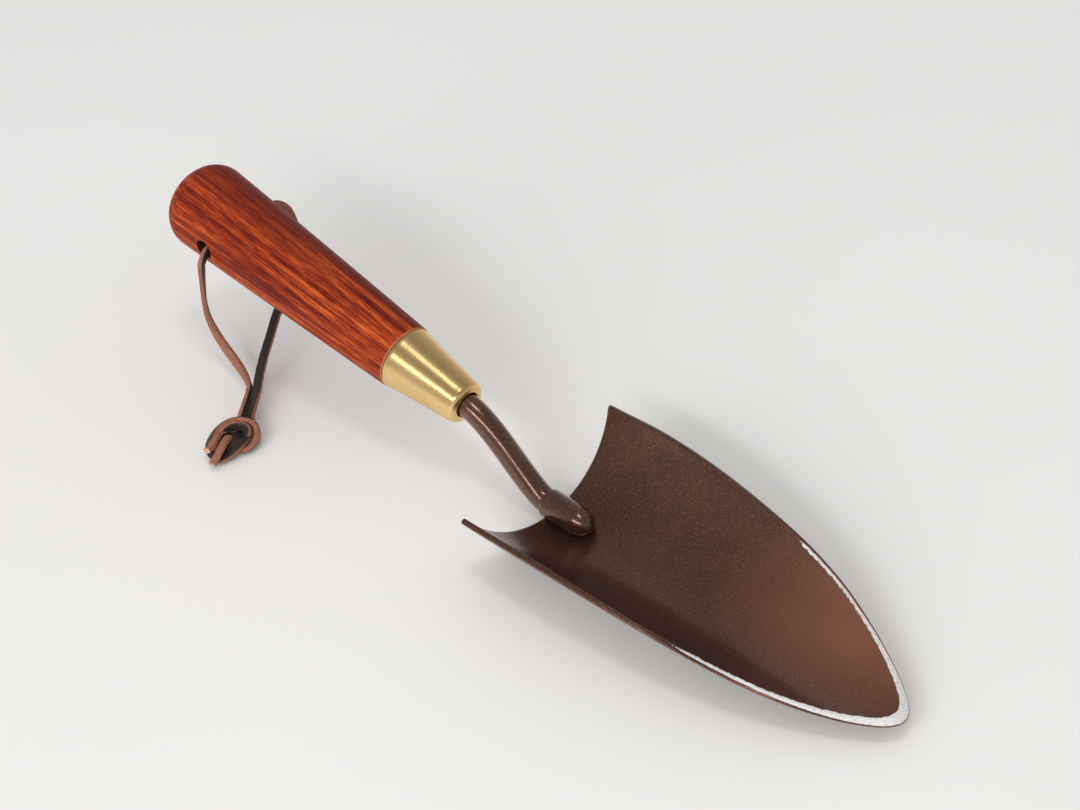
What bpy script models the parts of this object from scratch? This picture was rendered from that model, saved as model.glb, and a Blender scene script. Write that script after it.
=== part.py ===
"""Hand trowel: dished steel blade, cranked shank, brass ferrule, turned handle and leather strap.

The trowel is modelled in the handle's own frame: x runs along the handle axis, from the butt to
the blade, with x = 0 where the wood meets the ferrule, y runs sideways and z points up out of the
dish. One empty then tips that frame into the resting pose: the heel of the blade stands on z = 0
and the butt is held up in the air. The strap hangs through a cross hole near the butt, on an empty
at the hole's centre, and lies on z = 0 beside the handle.

Sizes are in millimetres, and mesh data is in metres.
"""
import math

import bmesh
import bpy
from mathutils import Vector

MM = 0.001

# Resting pose
REST_PITCH_DEG = 10.0           # how far the handle rises towards the butt
ORIGIN_SHIFT_X = -50.55         # puts the middle of the trowel's length at x = 0
HEEL_LIFT = 34.87               # height of the handle frame's origin above the table

# Handle
HANDLE_LENGTH = 112.3
JOINT_RADIUS = 11.75
HANDLE_SWELL = (5.35, -0.55)    # growth of the radius towards the butt, linear and square part
DOME_START = 101.1              # from the joint back to where the butt starts to round
DOME_DEPTH = 11.7
DOME_POWER = 2.1
BUTT_FLAT_RADIUS = 5.0
JOINT_CHAMFER = 0.5
TENON_LENGTH = 19.0
TENON_RADII = (9.8, 7.3)
TANG_BORE_RADIUS = 5.7
TANG_BORE_DEPTH = 38.0

# Cross hole for the strap
HOLE_FROM_JOINT = 86.6
HOLE_RADIUS = 4.0
HOLE_MOUTH_RADIUS = 5.1
HOLE_FLARE_START = 13.6         # distances from the handle's axis along the hole
HOLE_FLARE_END = 16.6

# Ferrule
FERRULE_LENGTH = 30.0
FERRULE_REAR_RADIUS = 11.5
FERRULE_NOSE_RADIUS = 7.9
FERRULE_WALL = 1.1
FERRULE_NOSE_ROUND = 2.4
FERRULE_OPENING_RADIUS = 4.75
FERRULE_NOSE_WALL = 3.0

# Shank
ROD_RADIUS = 4.3
TANG_LENGTH = 34.0
TANG_POINT = 5.0
CRANK_START = (30.0, 0.0)
CRANK_PULL = 16.0               # how strongly the rod's first direction holds in the crank
CRANK_END_PULL = 7.0            # the same for its direction into the socket
SPIGOT_RADIUS = 3.4
SPIGOT_LENGTH = 14.0

# Blade
BLADE_LENGTH = 147.6            # heel to tip along the spine
BLADE_THICKNESS = 2.0
HEEL_X = 70.2
HEEL_Z = -21.0
BLADE_PITCH_DEG = 9.9           # how far the spine climbs away from the handle axis
SECTION_RADIUS = 37.5
SECTION_TAPER = 0.028           # the dish tightens by this much per millimetre
SPINE_BOW = 0.00048
SPINE_RELAX = 1.26e-6
CORNER_BACK = 4.0               # the rear corners stand this far behind the heel
REAR_BOW_END = 0.22             # outline step where the rear edge's bow has died away
# Half-widths at eleven even steps of the outline's angle, from the rear corner to the tip
HALF_WIDTHS = (33.8, 33.9, 33.0, 31.2, 28.6, 24.8, 19.6, 14.0, 8.7, 4.2, 0.0)
# Ground edge
GROUND_START = 0.30             # outline step where the grinding starts to show
GROUND_FULL = 0.48
GROUND_SIDE = 1.25
GROUND_TIP = 3.6
UNGROUND_SIDE = 0.5             # width of the edge break where the edge isn't ground
EDGE_THICKNESS = 0.5

# Socket that holds the shank on the blade
SOCKET_RADIUS = 5.15
SOCKET_BORE = 3.75
SOCKET_LENGTH = 20.0
SOCKET_HEIGHT = 3.5             # its axis above the inner face of the dish
SOCKET_BACK = 1.5               # how far it reaches behind the heel
SOCKET_NOSE = 6.5

# Strap
LACE_RADIUS = 1.5
LACE_STEP = 6.5
KNOT_CENTRE = (-97.2, -45.8, 4.95)
KNOT_SEMI_AXES = (9.4, 8.8, 4.8)
# Route of the lace from the knot, up its near leg, through the hole, and down its far leg
LACE_ROUTE = (
    (-102.3, -37.7, 4.6), (-104.4, -34.0, 5.0), (-109.2, -27.1, 6.0), (-113.4, -24.4, 6.5),
    (-119.1, -22.2, 6.8), (-125.7, -20.3, 7.4), (-131.3, -19.2, 9.0), (-136.1, -18.6, 12.9),
    (-138.9, -18.5, 19.0), (-138.9, -18.5, 26.5), (-137.1, -18.6, 35.0), (-135.2, -18.9, 41.7),
    (-134.8, -18.1, 46.2), (-135.1, -14.4, 49.2), (-135.6, -7.0, 49.8), (-135.9, 0.0, 49.8),
    (-135.9, 8.0, 49.8), (-135.6, 14.0, 49.7), (-134.4, 19.4, 49.2), (-131.0, 22.6, 46.4),
    (-128.6, 22.6, 40.6), (-127.5, 19.9, 33.2), (-126.7, 14.2, 25.2), (-125.7, 7.2, 19.6),
    (-123.5, 0.3, 16.0), (-119.2, -7.7, 12.4), (-115.0, -15.0, 9.6), (-110.0, -21.9, 7.5),
    (-106.4, -26.0, 6.8), (-101.4, -32.3, 6.0), (-98.7, -36.8, 5.5),
)
TAIL_ROUTES = {
    "strap_tail_lower": ((-95.8, -54.9, 2.5), (-95.1, -57.8, 2.2), (-94.3, -60.7, 1.9)),
    "strap_tail_upper": ((-96.8, -54.9, 6.2), (-96.5, -56.6, 6.4), (-96.1, -58.3, 6.5)),
}

GAP = 0.3                       # between touching pieces
LATHE_STEPS = 48


def clear_scene():
    for old in list(bpy.data.objects):
        bpy.data.objects.remove(old, do_unlink=True)


def make_material(name, colour, roughness, metallic=0.0):
    material = bpy.data.materials.new(name)
    material.use_nodes = True
    shader = material.node_tree.nodes["Principled BSDF"]
    shader.inputs["Base Color"].default_value = (*colour, 1.0)
    shader.inputs["Roughness"].default_value = roughness
    shader.inputs["Metallic"].default_value = metallic
    material.diffuse_color = (*colour, 1.0)
    return material


def add_object(name, mesh_builder, parent=None, material=None):
    """Close a bmesh into a named object whose faces point out."""
    bmesh.ops.recalc_face_normals(mesh_builder, faces=mesh_builder.faces)
    mesh = bpy.data.meshes.new(name)
    mesh_builder.to_mesh(mesh)
    mesh_builder.free()
    for polygon in mesh.polygons:
        polygon.use_smooth = True
    mesh.set_sharp_from_angle(angle=math.radians(35))
    obj = bpy.data.objects.new(name, mesh)
    bpy.context.scene.collection.objects.link(obj)
    obj.parent = parent
    if material:
        mesh.materials.append(material)
    return obj


def add_empty(name, location_mm, rotation=(0.0, 0.0, 0.0), parent=None):
    empty = bpy.data.objects.new(name, None)
    bpy.context.scene.collection.objects.link(empty)
    empty.location = [value * MM for value in location_mm]
    empty.rotation_euler = rotation
    empty.parent = parent
    return empty


def hide_cutter(cutter):
    cutter.hide_render = True
    cutter.display_type = "WIRE"


def cut(target, cutter):
    hide_cutter(cutter)
    modifier = target.modifiers.new("cut_" + cutter.name, "BOOLEAN")
    modifier.operation = "DIFFERENCE"
    modifier.solver = "EXACT"
    modifier.object = cutter


def revolve(profile, closed=False, axis="X", steps=LATHE_STEPS):
    """Turn (along, radius) points round an axis. A radius of 0 becomes a point on the axis."""
    build = bmesh.new()
    rings = []
    for along, radius in profile:
        if radius == 0.0:
            ring = [build.verts.new((along * MM, 0.0, 0.0))]
        else:
            angles = (2.0 * math.pi * step / steps for step in range(steps))
            ring = [
                build.verts.new((along * MM, radius * MM * math.cos(a), radius * MM * math.sin(a)))
                for a in angles
            ]
        rings.append(ring)
    pairs = list(zip(rings, rings[1:]))
    if closed:
        pairs.append((rings[-1], rings[0]))
    for ring, other in pairs:
        for step in range(steps):
            after = (step + 1) % steps
            corners = [ring[step % len(ring)], ring[after % len(ring)],
                       other[after % len(other)], other[step % len(other)]]
            unique = list(dict.fromkeys(corners))
            if len(unique) > 2:
                build.faces.new(unique)
    if axis == "Y":
        for vertex in build.verts:
            vertex.co = Vector((vertex.co.y, vertex.co.x, vertex.co.z))
    return build


def sweep(path, radii, steps):
    """Sweep a circle along (x, 0, z) points that lie in one plane, capping both ends."""
    build = bmesh.new()
    rings = []
    for index, (x, z) in enumerate(path):
        before = path[max(index - 1, 0)]
        after = path[min(index + 1, len(path) - 1)]
        if index and path[index - 1] == (x, z):
            before = path[index - 2]
        if index + 1 < len(path) and path[index + 1] == (x, z):
            after = path[index + 2]
        along = Vector((after[0] - before[0], 0.0, after[1] - before[1])).normalized()
        up = Vector((-along.z, 0.0, along.x))
        ring = []
        for step in range(steps):
            angle = 2.0 * math.pi * step / steps
            offset = up * math.sin(angle) + Vector((0.0, math.cos(angle), 0.0))
            ring.append(build.verts.new((Vector((x, 0.0, z)) + offset * radii[index]) * MM))
        rings.append(ring)
    for ring, other in zip(rings, rings[1:]):
        for step in range(steps):
            after = (step + 1) % steps
            build.faces.new((ring[step], ring[after], other[after], other[step]))
    build.faces.new(rings[0])
    build.faces.new(rings[-1])
    return build


def smooth_ramp(value, start, end):
    share = min(max((value - start) / (end - start), 0.0), 1.0)
    return share * share * (3.0 - 2.0 * share)


def catmull_rom(points, per_span):
    """Points of a smooth curve through the given points."""
    ends = [points[0] * 2.0 - points[1]] + list(points) + [points[-1] * 2.0 - points[-2]]
    curve = []
    for a, b, c, d in zip(ends, ends[1:], ends[2:], ends[3:]):
        for step in range(per_span):
            t = step / per_span
            curve.append(0.5 * (2.0 * b + (c - a) * t + (2.0 * a - 5.0 * b + 4.0 * c - d) * t * t
                                + (3.0 * b - a - 3.0 * c + d) * t ** 3))
    curve.append(points[-1].copy())
    return curve


# ---- Handle ----

def handle_radius(back):
    """Radius of the wood at a distance back from the joint, before the dome."""
    share = back / HANDLE_LENGTH
    return JOINT_RADIUS + HANDLE_SWELL[0] * share + HANDLE_SWELL[1] * share * share


def handle_profile():
    rim = handle_radius(DOME_START)
    dome_end = DOME_DEPTH * (1.0 - (BUTT_FLAT_RADIUS / rim) ** DOME_POWER) ** (1.0 / DOME_POWER)
    points = [(-DOME_START - dome_end, 0.0), (-DOME_START - dome_end, BUTT_FLAT_RADIUS)]
    dome_steps = 9
    end_angle = math.asin((dome_end / DOME_DEPTH) ** (DOME_POWER / 2.0))
    for step in range(1, dome_steps):
        angle = end_angle * (1.0 - step / dome_steps)
        points.append((-DOME_START - DOME_DEPTH * math.sin(angle) ** (2.0 / DOME_POWER),
                       rim * math.cos(angle) ** (2.0 / DOME_POWER)))
    side_steps = 12
    for step in range(side_steps):
        back = DOME_START + (JOINT_CHAMFER - DOME_START) * step / (side_steps - 1)
        points.append((-back, handle_radius(back)))
    points.append((0.0, JOINT_RADIUS - JOINT_CHAMFER))
    points.append((0.0, TENON_RADII[0]))
    points.append((TENON_LENGTH, TENON_RADII[1]))
    points.append((TENON_LENGTH, TANG_BORE_RADIUS))
    points.append((-TANG_BORE_DEPTH, TANG_BORE_RADIUS))
    points.append((-TANG_BORE_DEPTH - TANG_BORE_RADIUS * 0.5, 0.0))
    return points


def make_handle(parent, material):
    handle = add_object("handle", revolve(handle_profile()), parent, material)
    reach = 20.0
    far_half = [(HOLE_FLARE_START, HOLE_RADIUS), (HOLE_FLARE_END, HOLE_MOUTH_RADIUS),
                (reach, HOLE_MOUTH_RADIUS), (reach, 0.0)]
    profile = [(-along, radius) for along, radius in reversed(far_half)] + far_half
    cutter = add_object("strap_hole_cutter", revolve(profile, axis="Y", steps=32), parent)
    cutter.location = (-HOLE_FROM_JOINT * MM, 0.0, 0.0)
    cut(handle, cutter)
    return handle


def make_tang_adhesive(parent, material):
    inner = ROD_RADIUS + GAP
    outer = TANG_BORE_RADIUS - GAP
    front = TENON_LENGTH - 1.0
    back = -TANG_LENGTH + TANG_POINT
    profile = [(front, inner), (front, outer), (back, outer), (back, inner)]
    return add_object("tang_adhesive", revolve(profile, closed=True, steps=32), parent, material)


# ---- Ferrule ----

def make_ferrule(parent, material):
    nose_centre = FERRULE_LENGTH - FERRULE_NOSE_ROUND
    slope = (FERRULE_NOSE_RADIUS - FERRULE_REAR_RADIUS) / (nose_centre - GAP)
    edge_break = 0.3
    outer = [(GAP, FERRULE_REAR_RADIUS - edge_break), (GAP + edge_break, FERRULE_REAR_RADIUS)]
    round_steps = 6
    for step in range(round_steps + 1):
        angle = 0.5 * math.pi * step / round_steps
        outer.append((nose_centre + FERRULE_NOSE_ROUND * math.sin(angle),
                      FERRULE_NOSE_RADIUS - FERRULE_NOSE_ROUND * (1.0 - math.cos(angle))))
    lip = 0.4
    outer.append((FERRULE_LENGTH, FERRULE_OPENING_RADIUS + lip))
    outer.append((FERRULE_LENGTH - lip, FERRULE_OPENING_RADIUS))
    cavity_end = FERRULE_LENGTH - FERRULE_NOSE_WALL
    cavity_radius = FERRULE_REAR_RADIUS + slope * (cavity_end - GAP) - FERRULE_WALL
    inner = [(cavity_end, FERRULE_OPENING_RADIUS), (cavity_end, cavity_radius),
             (GAP, FERRULE_REAR_RADIUS - FERRULE_WALL)]
    return add_object("ferrule", revolve(outer + inner, closed=True), parent, material)


# ---- Blade ----

def outline_point(u):
    """Length and half-width of the blade's outline, from the rear corner (0) to the tip (1)."""
    along = -CORNER_BACK + (BLADE_LENGTH + CORNER_BACK) * math.sin(0.5 * math.pi * u)
    last = len(HALF_WIDTHS) - 1
    position = u * last
    index = min(int(position), last - 1)
    share = position - index
    value = [HALF_WIDTHS[min(max(index + offset, 0), last)] for offset in (-1, 0, 1, 2)]
    if index == last - 1:
        value[3] = -value[1]
    a, b, c, d = value
    half = 0.5 * (2 * b + (c - a) * share + (2 * a - 5 * b + 4 * c - d) * share ** 2
                  + (3 * b - a - 3 * c + d) * share ** 3)
    return along, max(half, 0.0)


def grind_line_point(u):
    """The same for the line where the ground edge starts, inside the outline."""
    along, half = outline_point(u)
    shown = smooth_ramp(u, GROUND_START, GROUND_FULL)
    tip_half_width = 10.0
    side = (UNGROUND_SIDE + (GROUND_SIDE - UNGROUND_SIDE) * shown) * min(1.0, half / tip_half_width)
    back = GROUND_TIP * ((along + CORNER_BACK) / (BLADE_LENGTH + CORNER_BACK)) ** 6
    return along - back * shown, half - side


def dish_point(along, across, depth):
    """A point of the blade in the handle's frame, at a depth below its inner face."""
    radius = SECTION_RADIUS - SECTION_TAPER * along
    angle = math.asin(across / radius)
    sideways = (radius + depth) * math.sin(angle)
    rise = (radius - (radius + depth) * math.cos(angle)
            + SPINE_BOW * along ** 2 - SPINE_RELAX * along ** 3)
    pitch = math.radians(BLADE_PITCH_DEG)
    return Vector((HEEL_X + along * math.cos(pitch) - rise * math.sin(pitch), sideways,
                   HEEL_Z + along * math.sin(pitch) + rise * math.cos(pitch)))


def across_row(u, point_of, columns):
    """Points from one side of the blade to the other, bowed forward near the heel."""
    along, half = point_of(u)
    bow = CORNER_BACK * max(0.0, 1.0 - u / REAR_BOW_END) ** 2
    radius = SECTION_RADIUS - SECTION_TAPER * along
    reach = math.asin(half / radius)
    row = []
    for column in range(columns + 1):
        t = 2.0 * column / columns - 1.0
        row.append((along + bow * (1.0 - t * t), radius * math.sin(reach * t)))
    return row


def make_blade(parent, material):
    rows, columns = 44, 20
    build = bmesh.new()

    def vertex(place, depth):
        return build.verts.new(dish_point(*place, depth) * MM)

    inner, outer, edge = [], [], []
    for index in range(rows):
        u = index / rows
        inner.append([vertex(place, 0.0) for place in across_row(u, grind_line_point, columns)])
        rim = across_row(u, outline_point, columns)
        outer.append([vertex(place, BLADE_THICKNESS) for place in rim])
        ground = (BLADE_THICKNESS - EDGE_THICKNESS) * smooth_ramp(u, GROUND_START, GROUND_FULL)
        edge.append([vertex(rim[0], ground), vertex(rim[-1], ground)])
    inner_tip = vertex(grind_line_point(1.0), 0.0)
    outer_tip = vertex((BLADE_LENGTH, 0.0), BLADE_THICKNESS)
    edge_tip = vertex((BLADE_LENGTH, 0.0), BLADE_THICKNESS - EDGE_THICKNESS)

    for grid, tip in ((inner, inner_tip), (outer, outer_tip)):
        for row, after in zip(grid, grid[1:]):
            for a, b, c, d in zip(row, row[1:], after[1:], after):
                build.faces.new((a, b, c, d))
        for a, b in zip(grid[-1], grid[-1][1:]):
            build.faces.new((a, b, tip))
    for side, column in ((0, 0), (1, columns)):
        loops = ([row[column] for row in inner] + [inner_tip],
                 [pair[side] for pair in edge] + [edge_tip],
                 [row[column] for row in outer] + [outer_tip])
        for line, other in zip(loops, loops[1:]):
            for a, b, c, d in zip(line, line[1:], other[1:], other):
                build.faces.new((a, b, c, d))
    rear_inner = [edge[0][0]] + inner[0] + [edge[0][1]]
    rear_outer = [outer[0][0]] + outer[0] + [outer[0][-1]]
    for a, b, c, d in zip(rear_inner, rear_inner[1:], rear_outer[1:], rear_outer):
        corners = list(dict.fromkeys((a, b, c, d)))
        build.faces.new(corners)
    return add_object("blade", build, parent, material)


def make_dish_cutter(parent):
    """A solid below the dish's inner face, which trims what is fixed on top of it."""
    build = bmesh.new()
    rows, columns = 24, 16
    start, end, half, depth = -GAP - 0.1, 26.0, 8.0, 8.0
    sheets = []
    for level in (-GAP, depth):
        sheet = []
        for row in range(rows + 1):
            along = start + (end - start) * row / rows
            sheet.append([build.verts.new(dish_point(along, half * (2 * c / columns - 1), level) * MM)
                          for c in range(columns + 1)])
        sheets.append(sheet)
        for line, after in zip(sheet, sheet[1:]):
            for a, b, c, d in zip(line, line[1:], after[1:], after):
                build.faces.new((a, b, c, d))
    top, bottom = sheets
    borders = [(top[0], bottom[0]), (top[-1], bottom[-1]),
               ([line[0] for line in top], [line[0] for line in bottom]),
               ([line[-1] for line in top], [line[-1] for line in bottom])]
    for line, other in borders:
        for a, b, c, d in zip(line, line[1:], other[1:], other):
            build.faces.new((a, b, c, d))
    return add_object("dish_cutter", build, parent)


# ---- Shank and socket ----

def socket_start():
    """Centre of the socket's rear face, in the handle's frame."""
    pitch = math.radians(BLADE_PITCH_DEG)
    along = Vector((math.cos(pitch), 0.0, math.sin(pitch)))
    up = Vector((-math.sin(pitch), 0.0, math.cos(pitch)))
    return Vector((HEEL_X, 0.0, HEEL_Z)) - along * SOCKET_BACK + up * SOCKET_HEIGHT, along


def shank_path():
    """Centreline and radius of the shank: tang, crank, and the spigot inside the socket."""
    mouth, along = socket_start()
    shoulder = mouth - along * GAP
    path = [(-TANG_LENGTH, 0.0), (-TANG_LENGTH + TANG_POINT, 0.0), CRANK_START]
    radii = [ROD_RADIUS * 0.5, ROD_RADIUS, ROD_RADIUS]
    start = Vector((CRANK_START[0], 0.0, CRANK_START[1]))
    pulls = (start, start + Vector((CRANK_PULL, 0.0, 0.0)),
             shoulder - along * CRANK_END_PULL, shoulder)
    crank_steps = 22
    for step in range(1, crank_steps + 1):
        t = step / crank_steps
        weights = ((1 - t) ** 3, 3 * t * (1 - t) ** 2, 3 * t * t * (1 - t), t ** 3)
        point = sum((pull * weight for pull, weight in zip(pulls, weights)), Vector())
        path.append((point.x, point.z))
        radii.append(ROD_RADIUS)
    spigot_end = shoulder + along * SPIGOT_LENGTH
    path += [(shoulder.x, shoulder.z), (spigot_end.x, spigot_end.z)]
    radii += [SPIGOT_RADIUS, SPIGOT_RADIUS]
    return path, radii


def make_shank(parent, material, dish_cutter):
    path, radii = shank_path()
    shank = add_object("shank", sweep(path, radii, 32), parent, material)
    cut(shank, dish_cutter)
    return shank


def make_socket(parent, material, dish_cutter):
    straight = SOCKET_LENGTH - SOCKET_NOSE
    edge_break = 0.5
    outer = [(0.0, SOCKET_BORE), (0.0, SOCKET_RADIUS - edge_break), (edge_break, SOCKET_RADIUS)]
    nose_steps = 8
    for step in range(nose_steps + 1):
        angle = 0.5 * math.pi * step / nose_steps
        radius = SOCKET_RADIUS * math.cos(angle) if step < nose_steps else 0.0
        outer.append((straight + SOCKET_NOSE * math.sin(angle), radius))
    bore_end = SPIGOT_LENGTH + GAP
    bore = [(bore_end, 0.0), (bore_end, SOCKET_BORE), (0.0, SOCKET_BORE)]
    build = revolve(outer + bore, steps=32)
    bmesh.ops.remove_doubles(build, verts=build.verts, dist=1e-7)
    socket = add_object("socket", build, parent, material)
    mouth, _ = socket_start()
    socket.location = mouth * MM
    socket.rotation_euler = (0.0, -math.radians(BLADE_PITCH_DEG), 0.0)
    cut(socket, dish_cutter)
    return socket


# ---- Strap ----

def make_cord(name, route, parent, material):
    """A round cord through a list of points, as a bevelled curve with closed ends."""
    dense = catmull_rom([Vector(point) * MM for point in route], 8)
    spaced = [dense[0]]
    for point in dense[1:-1]:
        if (point - spaced[-1]).length >= LACE_STEP * MM:
            spaced.append(point)
    if (dense[-1] - spaced[-1]).length < 0.5 * LACE_STEP * MM and len(spaced) > 2:
        spaced.pop()
    spaced.append(dense[-1])
    curve = bpy.data.curves.new(name, "CURVE")
    curve.dimensions = "3D"
    curve.bevel_depth = LACE_RADIUS * MM
    curve.bevel_resolution = 2
    curve.use_fill_caps = True
    spline = curve.splines.new("POLY")
    spline.points.add(len(spaced) - 1)
    for target, point in zip(spline.points, spaced):
        target.co = (*point, 1.0)
    curve.materials.append(material)
    cord = bpy.data.objects.new(name, curve)
    bpy.context.scene.collection.objects.link(cord)
    cord.parent = parent
    cord.matrix_parent_inverse = parent_inverse(parent)
    return cord


def parent_inverse(parent):
    bpy.context.view_layer.update()
    return parent.matrix_world.inverted()


def make_knot(parent, material):
    build = bmesh.new()
    bmesh.ops.create_uvsphere(build, u_segments=28, v_segments=14, radius=1.0)
    for vertex in build.verts:
        vertex.co = Vector([centre * MM + value * semi * MM for centre, value, semi
                            in zip(KNOT_CENTRE, vertex.co, KNOT_SEMI_AXES)])
    knot = add_object("strap_knot", build, parent, material)
    knot.matrix_parent_inverse = parent_inverse(parent)
    return knot


def main():
    clear_scene()
    coated = make_material("coated_steel", (0.085, 0.052, 0.040), 0.42, 0.8)
    blade_coat = make_material("coated_blade", (0.075, 0.048, 0.038), 0.45, 0.8)
    socket_coat = make_material("coated_socket", (0.095, 0.058, 0.045), 0.40, 0.8)
    brass = make_material("satin_brass", (0.66, 0.47, 0.20), 0.30, 1.0)
    wood = make_material("varnished_wood", (0.36, 0.065, 0.022), 0.28)
    resin = make_material("cured_adhesive", (0.55, 0.42, 0.22), 0.5)
    leather = make_material("leather_lace", (0.20, 0.105, 0.065), 0.8)

    tool = add_empty("tool_frame", (ORIGIN_SHIFT_X, 0.0, HEEL_LIFT),
                     (0.0, math.radians(REST_PITCH_DEG), 0.0))
    make_handle(tool, wood)
    make_tang_adhesive(tool, resin)
    make_ferrule(tool, brass)
    make_blade(tool, blade_coat)
    dish_cutter = make_dish_cutter(tool)
    make_shank(tool, coated, dish_cutter)
    make_socket(tool, socket_coat, dish_cutter)

    strap = add_empty("strap_pivot", (-HOLE_FROM_JOINT, 0.0, 0.0), parent=tool)
    make_cord("strap_lace", LACE_ROUTE, strap, leather)
    make_knot(strap, leather)
    for name, route in TAIL_ROUTES.items():
        make_cord(name, route, strap, leather)


main()
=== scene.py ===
"""Looks of the hand trowel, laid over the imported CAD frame.

The blade, socket, shank, ferrule and handle are remodelled finely in the handle's own frame: x runs
along the handle axis from the butt to the blade, with x = 0 where the wood meets the ferrule, and z
points up out of the dish. The leather strap is two flat laces, one down each side of the handle,
tied together in an overhand knot. Lengths are in millimetres times MM; the frame, the camera and
the lights are in metres.
"""

import math

import bmesh
import bpy
from mathutils import Matrix, Vector, kdtree, noise


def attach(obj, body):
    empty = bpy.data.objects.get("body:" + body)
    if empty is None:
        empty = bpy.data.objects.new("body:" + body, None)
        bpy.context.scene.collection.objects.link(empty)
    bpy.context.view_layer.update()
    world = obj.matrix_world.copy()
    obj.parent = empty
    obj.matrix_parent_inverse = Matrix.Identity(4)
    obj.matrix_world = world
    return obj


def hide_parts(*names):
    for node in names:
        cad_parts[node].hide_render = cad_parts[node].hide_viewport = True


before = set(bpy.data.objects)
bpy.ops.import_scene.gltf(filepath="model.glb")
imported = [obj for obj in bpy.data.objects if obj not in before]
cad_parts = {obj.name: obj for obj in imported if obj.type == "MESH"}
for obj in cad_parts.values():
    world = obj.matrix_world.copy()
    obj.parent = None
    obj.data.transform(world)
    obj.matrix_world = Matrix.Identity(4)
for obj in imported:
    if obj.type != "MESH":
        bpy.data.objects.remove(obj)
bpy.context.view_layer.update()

MM = 0.001

# The handle's frame in the row frame
REST_PITCH_DEG = 10.0
ORIGIN_SHIFT_X = -50.55
HEEL_LIFT = 34.87

# Handle
HANDLE_LENGTH = 112.3
JOINT_RADIUS = 11.75
HANDLE_SWELL = (5.35, -0.55)    # growth of the radius towards the butt, linear and square part
DOME_START = 101.1
DOME_DEPTH = 11.7
DOME_POWER = 2.1
BUTT_FLAT_RADIUS = 5.0
JOINT_CHAMFER = 0.5
TENON_LENGTH = 19.0
TENON_RADII = (9.8, 7.3)
TANG_BORE_RADIUS = 5.7
TANG_BORE_POINT = 4.0
HOLE_FROM_JOINT = 86.6
HOLE_RADIUS = 3.3
HOLE_MOUTH_RADIUS = 3.8
HOLE_FLARE_START = 14.6
HOLE_FLARE_END = 15.8
HOLE_CUTTER_REACH = 20.0

# Ferrule
FERRULE_LENGTH = 30.0
FERRULE_REAR_RADIUS = 11.5
FERRULE_NOSE_RADIUS = 7.9
FERRULE_WALL = 1.1
FERRULE_NOSE_ROUND = 2.4
FERRULE_OPENING_RADIUS = 4.75
FERRULE_NOSE_WALL = 3.0
FERRULE_GAP = 0.3
FERRULE_EDGE_ROUND = 0.35
FERRULE_LIP_ROUND = 0.4

# Shank
ROD_RADIUS = 4.3
TANG_LENGTH = 34.0
TANG_POINT = 5.0
STRAIGHT_END = 18.0
CRANK_START = 30.0
CRANK_PULL = 14.0               # how strongly the rod's first direction holds in the crank
CRANK_END_PULL = 9.0            # the same for its direction into the socket
ROD_INSERT = 1.0                # how far the rod reaches into the socket

# Blade
BLADE_LENGTH = 147.6
BLADE_THICKNESS = 2.0
HEEL_X = 70.2
HEEL_Z = -21.0
BLADE_PITCH_DEG = 9.9
SECTION_RADIUS = 37.5
SECTION_TAPER = 0.028
SPINE_BOW = 0.00048
SPINE_RELAX = 1.26e-6
CORNER_BACK = 4.0
REAR_BOW_END = 0.22             # share of the outline over which the rear edge's bow dies out
REAR_ROUND = ((0.0, 0.42), (0.12, 0.12), (0.42, 0.0))   # forward and inward steps
# Half-widths at even steps along the outline, from the rear corner to the tip
HALF_WIDTHS = (33.8, 33.9, 33.0, 31.2, 28.6, 24.8, 19.6, 14.0, 8.7, 4.2, 0.0)
GROUND_START = 0.27             # shares of the outline where the grind begins and is full
GROUND_FULL = 0.42
GROUND_SIDE = 0.8
GROUND_TIP = 3.6
GROUND_TIP_POWER = 6
TIP_HALF_WIDTH = 10.0
UNGROUND_SIDE = 0.5
BURR_WIDTH = 0.55
EDGE_THICKNESS = 0.5
EDGE_BREAK = 0.3
# Centre and reach of the coppery glow near the tip, a painted reflection in the blade's colour
PAINTED_GLOW_CENTRE = (184.0, 15.0)
PAINTED_GLOW_REACH = (55.0, 30.0)
BLADE_ROWS = 170
BLADE_COLUMNS = 72
# Where a point of the blade's section lies, and what the grind layer holds there: above zero is
# bare steel, and on the two ground faces it is the distance from the grind line
ON_FACE, ON_GRIND, ON_BURR, ON_BACK = range(4)
BURR_GRIND = -0.9
BACK_GRIND = -4.0
LEAST_GRIND = -6.0
UNGROUND_DROP = 2.4

# Socket
SOCKET_RADIUS = 5.15
SOCKET_LENGTH = 20.0
SOCKET_HEIGHT = 3.5
SOCKET_BACK = 1.5
SOCKET_NOSE = 6.5
SOCKET_BORE_RADIUS = ROD_RADIUS - 0.05
SOCKET_BORE_DEPTH = 2.0
SOCKET_LIP_LENGTH = 1.1

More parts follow.
